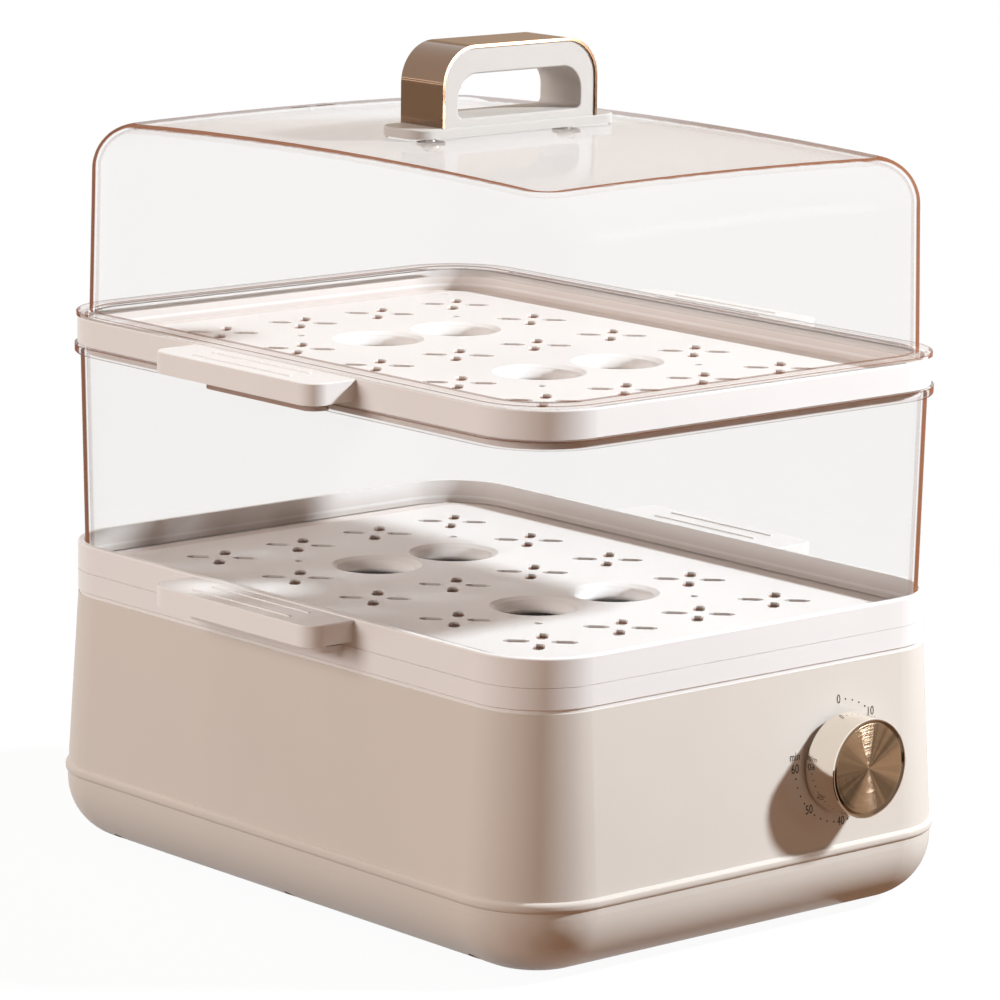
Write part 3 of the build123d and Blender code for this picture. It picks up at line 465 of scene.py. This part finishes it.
finishes = {
    "base_housing": lambda name: plasticMaterial(name, beige, 0.42),
    "bottom_cover": lambda name: plasticMaterial(name, beige, 0.42),
    "rubber_feet": lambda name: plasticMaterial(name, (0.16, 0.14, 0.13), 0.75, 0.00006),
    "cover_screws": lambda name: metalMaterial(name, zinc, 0.35),
    "water_pan": lambda name: plasticMaterial(name, warmWhite, 0.35),
    "heating_plate": lambda name: metalMaterial(name, stainless, 0.28, stretch=(1.0, 0.05, 1.0)),
    "plate_gasket": lambda name: plasticMaterial(name, (0.45, 0.43, 0.41), 0.6),
    "clamp_ring": lambda name: metalMaterial(name, zinc, 0.38),
    "clamp_screws": lambda name: metalMaterial(name, stainless, 0.3),
    "clamp_nuts": lambda name: metalMaterial(name, stainless, 0.3),
    "heater_element": lambda name: metalMaterial(name, (0.30, 0.26, 0.23), 0.45),
    "thermostat": lambda name: metalMaterial(name, (0.7, 0.7, 0.69), 0.3),
    "thermal_fuse": lambda name: metalMaterial(name, (0.7, 0.68, 0.63), 0.3),
    "steam_collar": lambda name: plasticMaterial(name, warmWhite, 0.35),
    "cord_gland": lambda name: plasticMaterial(name, (0.045, 0.04, 0.038), 0.6, 0.00004),
    "gland_nut": lambda name: plasticMaterial(name, (0.045, 0.04, 0.038), 0.45),
    "terminal_block": lambda name: plasticMaterial(name, (0.78, 0.74, 0.66), 0.4),
    "terminal_screws": lambda name: metalMaterial(name, brass, 0.35),
    "timer_case": lambda name: metalMaterial(name, zinc, 0.4),
    "timer_bush": lambda name: metalMaterial(name, brass, 0.3),
    "timer_bell": lambda name: metalMaterial(name, stainless, 0.12),
    "timer_screws": lambda name: metalMaterial(name, zinc, 0.35),
    "timer_shaft": lambda name: metalMaterial(name, stainless, 0.3),
    "knob_clip": lambda name: metalMaterial(name, (0.4, 0.4, 0.4), 0.35),
    "knob_body": lambda name: metalMaterial(name, champagne, 0.08, stretch=(1.0, 0.02, 1.0), **polished),
    "knob_cap": lambda name: spunMaterial(name, centreOf("knob_cap")),
    "drip_tray": lambda name: plasticMaterial(name, warmWhite, 0.3),
    "lower_tray": lambda name: plasticMaterial(name, warmWhite, 0.3, tray="lower_tray"),
    "tier_wall": lambda name: clearMaterial(name, "tier_wall", tierRim()),
    "upper_tray": lambda name: plasticMaterial(name, warmWhite, 0.3, tray="upper_tray"),
    "lid_shell": lambda name: clearMaterial(name, "lid_shell", lidRim()),
    "handle_grip": lambda name: plasticMaterial(name, (0.52, 0.485, 0.455), 0.3, shine=0.2),
    "handle_cover": lambda name: metalMaterial(
        name, bronze, 0.09, stretch=(0.05, 1.0, 1.0), coat=0.25, **polished),
    "handle_seals": lambda name: plasticMaterial(name, (0.82, 0.80, 0.78), 0.55),
    "handle_screws": lambda name: metalMaterial(name, (0.86, 0.85, 0.84), 0.5),
}

for nodeName, makeFinish in finishes.items():
    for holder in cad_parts[nodeName].material_slots:
        holder.material = makeFinish(nodeName + "_finish")
print("finishes set on", len(finishes), "nodes")


# Dial print on the front panel

dialPrint = {
    "radius": 0.0253,
    "markHeight": 0.0039,
    "markWidth": 0.8,         # the letters' width over their natural width
    "minHeight": 0.0036,
    "minLift": 0.0052,
    "dotRadius": 0.00039,
    "dotSides": 12,
    "stepDegrees": 45.0,      # for ten minutes
    "steps": 6,
    "dotsBetween": 4,
    "proud": 0.00006,
    "thickness": 0.00008,
    "sizeForHeight": 1.38,    # the built-in letters stand about 0.72 of their size high
    "curveSteps": 3,
    "panelReach": 0.030,      # the panel's slope is read this far beside the knob's axis
    "ink": (0.045, 0.03, 0.024),
    "speck": 3000.0,
    "inkLow": 0.85,
    "inkHigh": 1.2,
    "roughness": 0.5,
    "roughnessShare": 0.1,
}


def panelPlace(node, x, z, depsgraph):
    # the point of a node's front face at x and z, seen along +Y
    tree = BVHTree.FromObject(node, depsgraph)
    return tree.ray_cast(Vector((x, -1.0, z)), Vector((0, 1, 0)))[0]


def panelFrame():
    # origin at the knob's axis on the panel, X to the right, Y up the panel, Z out of it
    depsgraph = bpy.context.evaluated_depsgraph_get()
    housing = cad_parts["base_housing"]
    axis = centreOf("knob_cap")
    reach = dialPrint["panelReach"]
    below = panelPlace(housing, axis.x - reach, axis.z - reach, depsgraph)
    above = panelPlace(housing, axis.x - reach, axis.z + reach, depsgraph)
    upward = (above - below).normalized()
    out = Vector((1, 0, 0)).cross(upward).normalized()
    middle = (above + below) / 2
    origin = Vector((axis.x, middle.y, axis.z))
    place = Matrix((Vector((1, 0, 0)), upward, out)).transposed().to_4x4()
    place.translation = origin
    return place


def textMesh(words, height):
    data = bpy.data.curves.new("letters", "FONT")
    data.body = words
    data.size = height * dialPrint["sizeForHeight"]
    data.extrude = dialPrint["thickness"] / 2
    data.resolution_u = dialPrint["curveSteps"]
    data.align_x = "CENTER"
    data.align_y = "CENTER"
    holder = bpy.data.objects.new("letters", data)
    bpy.context.scene.collection.objects.link(holder)
    bpy.context.view_layer.update()
    mesh = bpy.data.meshes.new_from_object(holder.evaluated_get(bpy.context.evaluated_depsgraph_get()))
    bpy.data.objects.remove(holder)
    points = np.empty(len(mesh.vertices) * 3)
    mesh.vertices.foreach_get("co", points)
    faces = [tuple(face.vertices) for face in mesh.polygons]
    return points.reshape(-1, 3) * np.array([dialPrint["markWidth"], 1, 1]), faces


def dotMesh(radius, sides, thickness):
    # a short upright prism on a circle: x = r cos t, y = r sin t, at its foot and at its top
    turn = np.linspace(0, 2 * np.pi, sides, endpoint=False)
    circle = np.stack([radius * np.cos(turn), radius * np.sin(turn)], axis=1)
    low = np.column_stack([circle, np.full(sides, -thickness / 2)])
    high = np.column_stack([circle, np.full(sides, thickness / 2)])
    after = np.roll(np.arange(sides), -1)
    walls = [(i, int(after[i]), int(after[i]) + sides, i + sides) for i in range(sides)]
    return np.vstack([low, high]), walls + [tuple(range(sides))[::-1], tuple(range(sides, 2 * sides))]


def makeDialPrint():
    look = dialPrint
    points, faces = [], []

    def put(shape, x, y):
        start = sum(len(part) for part in points)
        points.append(shape[0] + np.array([x, y, look["proud"]]))
        faces.extend(tuple(start + corner for corner in face) for face in shape[1])

    dot = dotMesh(look["dotRadius"], look["dotSides"], look["thickness"])
    for step in range(look["steps"] + 1):
        turn = math.radians(step * look["stepDegrees"])
        x, y = look["radius"] * math.sin(turn), look["radius"] * math.cos(turn)
        put(textMesh(str(step * 10), look["markHeight"]), x, y)
        if step == look["steps"]:
            put(textMesh("min", look["minHeight"]), x, y + look["minLift"])
            continue
        for index in range(look["dotsBetween"]):
            angle = turn + math.radians(look["stepDegrees"]) * (index + 1) / (look["dotsBetween"] + 1)
            put(dot, look["radius"] * math.sin(angle), look["radius"] * math.cos(angle))
    place = np.array(panelFrame())
    flat = np.vstack(points) @ place[:3, :3].T + place[:3, 3]
    mesh = bpy.data.meshes.new("dial_print")
    mesh.from_pydata(flat.tolist(), [], faces)
    mesh.update()
    piece = bpy.data.objects.new("dial_print", mesh)
    bpy.context.scene.collection.objects.link(piece)
    material, sheet = newMaterial("dial_ink")
    spot = sheet.node("ShaderNodeTexCoord", out="Object")
    speck = noise(sheet, spot, look["speck"])
    tone = shadeMix(sheet, speck, rgba(look["ink"], look["inkLow"]), rgba(look["ink"], look["inkHigh"]))
    surface = sheet.node("ShaderNodeBsdfPrincipled", {}, {
        "Base Color": tone, "Roughness": look["roughness"] + speck * look["roughnessShare"],
    })
    closeMaterial(sheet, surface)
    mesh.materials.append(material)
    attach(piece, "base")


makeDialPrint()
print("dial print made")


# Egg seats: the walls that hang under the four round holes of each tray

def eggSeatMesh(look):
    # a closed profile of radius and height turned about the axis: x = r cos t, y = r sin t
    under = -look["floor"] - look["collar"]
    outside = look["mouth"] + look["gap"]
    profile = np.array([
        [look["mouth"], -look["start"]],
        [(look["mouth"] + 2 * look["bottom"]) / 3, -look["depth"] * look["bend"]],
        [look["bottom"], -look["depth"]],
        [look["bottom"] + look["wall"], -look["depth"]],
        [look["mouth"] + look["wall"], under],
        [outside, under],
        [outside, -look["start"]],
    ])
    turn = np.linspace(0, 2 * np.pi, look["sides"], endpoint=False)[:, None]
    radius, height = profile[:, 0][None, :], profile[:, 1][None, :]
    points = np.stack([radius * np.cos(turn), radius * np.sin(turn), height + 0 * turn], axis=2)
    count = len(profile)
    row, column = np.meshgrid(np.arange(look["sides"]), np.arange(count), indexing="ij")
    nextRow, nextColumn = (row + 1) % look["sides"], (column + 1) % count
    here, after = row * count, nextRow * count
    corners = [here + column, here + nextColumn, after + nextColumn, after + column]
    return points.reshape(-1, 3), np.stack([corner.ravel() for corner in corners], axis=1)


def makeEggSeats(tray, floorTop):
    points, faces = eggSeatMesh(eggSeat)
    middle = ringCentre().y
    places = np.array([[x, y + middle, floorTop] for x in eggSeat["columns"] for y in eggSeat["rows"]])
    spread = (points[None, :, :] + places[:, None, :]).reshape(-1, 3)
    steps = (np.arange(len(places)) * len(points))[:, None, None]
    quads = (faces[None, :, :] + steps).reshape(-1, 4)
    mesh = bpy.data.meshes.new(tray + "_egg_seats")
    mesh.from_pydata(spread.tolist(), [], quads.tolist())
    mesh.shade_smooth()
    mesh.update()
    mesh.materials.append(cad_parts[tray].material_slots[0].material)
    piece = bpy.data.objects.new(tray + "_egg_seats", mesh)
    bpy.context.scene.collection.objects.link(piece)
    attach(piece, tray)


for trayName in ("lower_tray", "upper_tray"):
    makeEggSeats(trayName, topOf(trayName) - floorDrop)
print("egg seats made")


# Floor, world and lamps

stageLook = {
    "floorRadius": 14.0,
    "floorSides": 96,
    "bounceColour": (0.22, 0.115, 0.065),     # what the floor gives back to the object
    "floorColour": (0.97, 0.965, 0.96),
    "whiteShare": 0.95,       # how much of the floor's tone is plain white to the camera
    "farFloor": (0.35, 0.8),  # distances between which the floor turns all white
    "fillColour": (1.0, 0.66, 0.47),
    "fill": 0.26,
}

lamps = {
    "key": {
        "towards": (0.633, -0.547, 0.547), "distance": 2.6, "size": 0.25,
        "power": 131.0, "colour": (0.83, 0.93, 1.0),
    },
    "left": {
        "towards": (-0.92, 0.28, 0.32), "distance": 3.0, "size": 1.6,
        "power": 59.0, "colour": (1.0, 0.985, 0.97),
    },
    "top": {
        "towards": (-0.1, 0.25, 0.96), "distance": 2.8, "size": 1.6,
        "power": 12.0, "colour": (1.0, 0.97, 0.94),
    },
}

# boards and cards that only mirrors see, as on a photographer's table: each goes from a near to a far edge,
# and stands where both edges are equally far off, or lies flat where both are equally high
darkBoard = (0.34, 0.24, 0.17)
rearBoard = (0.62, 0.54, 0.45)
brightCard = (3.0, 2.9, 2.8)
boardPlaces = {
    "front": {"towards": (0.654, -0.757), "width": 1.5},
    "card": {"towards": (0.638, -0.851), "width": 0.2},
    "side": {"towards": (-0.40, -0.92), "width": 0.5},
    "rear": {"towards": (-0.654, 0.757), "width": 1.1},
    "right": {"towards": (0.654, 0.757), "width": 1.3},
}
# place, distances of both edges, heights of both edges, tone
boards = [
    ("front", (0.15, 1.1), (0.0015, 0.0015), darkBoard),
    ("front", (1.2, 1.2), (0.0, 0.28), darkBoard),
    ("card", (1.064, 1.064), (0.22, 0.5), (24.0, 23.0, 22.0)),
    ("side", (0.18, 0.9), (0.002, 0.002), (0.05, 0.03, 0.02)),
    ("rear", (0.75, 0.75), (0.10, 0.335), rearBoard),
    ("rear", (0.75, 0.75), (0.335, 0.35), brightCard),
    ("rear", (0.75, 0.75), (0.35, 0.378), rearBoard),
    ("rear", (0.75, 0.75), (0.378, 0.393), brightCard),
    ("right", (0.95, 0.95), (0.40, 0.78), (0.54, 0.40, 0.29)),
]


def whiteToEye(sheet):
    # 1 where the camera, a mirror or a clear wall looks at the background
    eye = sheet.node("ShaderNodeLightPath", out="Is Camera Ray")
    mirrored = eye.output("Is Glossy Ray") + eye.output("Is Transmission Ray")
    return sheet.maths("MINIMUM", eye + mirrored, 1.0)


def makeFloor(look):
    turn = np.linspace(0, 2 * np.pi, look["floorSides"], endpoint=False)
    rim = np.column_stack([np.cos(turn), np.sin(turn), np.zeros_like(turn)]) * look["floorRadius"]
    mesh = bpy.data.meshes.new("studio_floor")
    mesh.from_pydata(rim.tolist(), [], [tuple(range(look["floorSides"]))])
    floor = bpy.data.objects.new("studio_floor", mesh)
    bpy.context.scene.collection.objects.link(floor)
    material, sheet = newMaterial("floor_paper")
    bounce = sheet.node("ShaderNodeBsdfDiffuse", {}, {"Color": rgba(look["bounceColour"])})
    paper = sheet.node("ShaderNodeBsdfDiffuse", {}, {"Color": rgba(look["floorColour"])})
    white = sheet.node("ShaderNodeEmission", {}, {"Color": (1, 1, 1, 1), "Strength": 1.0})
    spot = sheet.node("ShaderNodeTexCoord", out="Object")
    far = stepUp(sheet, vectorMaths(sheet, "LENGTH", spot, out="Value"), look["farFloor"])
    seen = mixShaders(sheet, look["whiteShare"] + far * (1 - look["whiteShare"]), paper, white)
    closeMaterial(sheet, mixShaders(sheet, whiteToEye(sheet), bounce, seen))
    mesh.materials.append(material)


def makeBoard(name, place, distances, heights, tone):
    look = boardPlaces[place]
    towards = Vector((look["towards"][0], look["towards"][1], 0)).normalized()
    middle = (cadLow + cadHigh) / 2
    across = Vector((-towards.y, towards.x, 0)) * look["width"] / 2
    near, far = (Vector((middle.x, middle.y, 0)) + towards * distance for distance in distances)
    near.z, far.z = heights
    mesh = bpy.data.meshes.new(name)
    mesh.from_pydata([near - across, near + across, far + across, far - across], [], [(0, 1, 2, 3)])
    board = bpy.data.objects.new(name, mesh)
    bpy.context.scene.collection.objects.link(board)
    material, sheet = newMaterial(name + "_cloth")
    closeMaterial(sheet, sheet.node("ShaderNodeEmission", {}, {"Color": rgba(tone), "Strength": 1.0}))
    mesh.materials.append(material)
    for sight in ("camera", "diffuse", "transmission", "volume_scatter", "shadow"):
        setattr(board, "visible_" + sight, False)


def makeWorld(look):
    world = bpy.data.worlds.new("studio")
    world.use_nodes = True
    world.node_tree.nodes.clear()
    sheet = Wire(world.node_tree)
    fillColour = rgba(look["fillColour"])
    fill = sheet.node("ShaderNodeBackground", {}, {"Color": fillColour, "Strength": look["fill"]})
    white = sheet.node("ShaderNodeBackground", {}, {"Color": (1, 1, 1, 1), "Strength": 1.0})
    mixed = mixShaders(sheet, whiteToEye(sheet), fill, white)
    sheet.node("ShaderNodeOutputWorld", {}, {"Surface": mixed})
    bpy.context.scene.world = world


def makeLamp(name, look):
    data = bpy.data.lights.new("lamp_" + name, "AREA")
    data.shape = "DISK"
    data.size = look["size"]
    data.energy = look["power"]
    data.color = look["colour"]
    lamp = bpy.data.objects.new("lamp_" + name, data)
    bpy.context.scene.collection.objects.link(lamp)
    towards = Vector(look["towards"]).normalized()
    middle = (cadLow + cadHigh) / 2
    lamp.location = middle + towards * look["distance"]
    lamp.rotation_mode = "QUATERNION"
    lamp.rotation_quaternion = towards.to_track_quat("Z", "Y")
    lamp.visible_glossy = False


makeFloor(stageLook)
makeWorld(stageLook)
for boardNumber, boardLook in enumerate(boards):
    makeBoard("board_" + str(boardNumber), *boardLook)
for lampName, lampLook in lamps.items():
    makeLamp(lampName, lampLook)
bpy.context.scene.view_settings.view_transform = "Standard"
print("floor, world and lamps made")
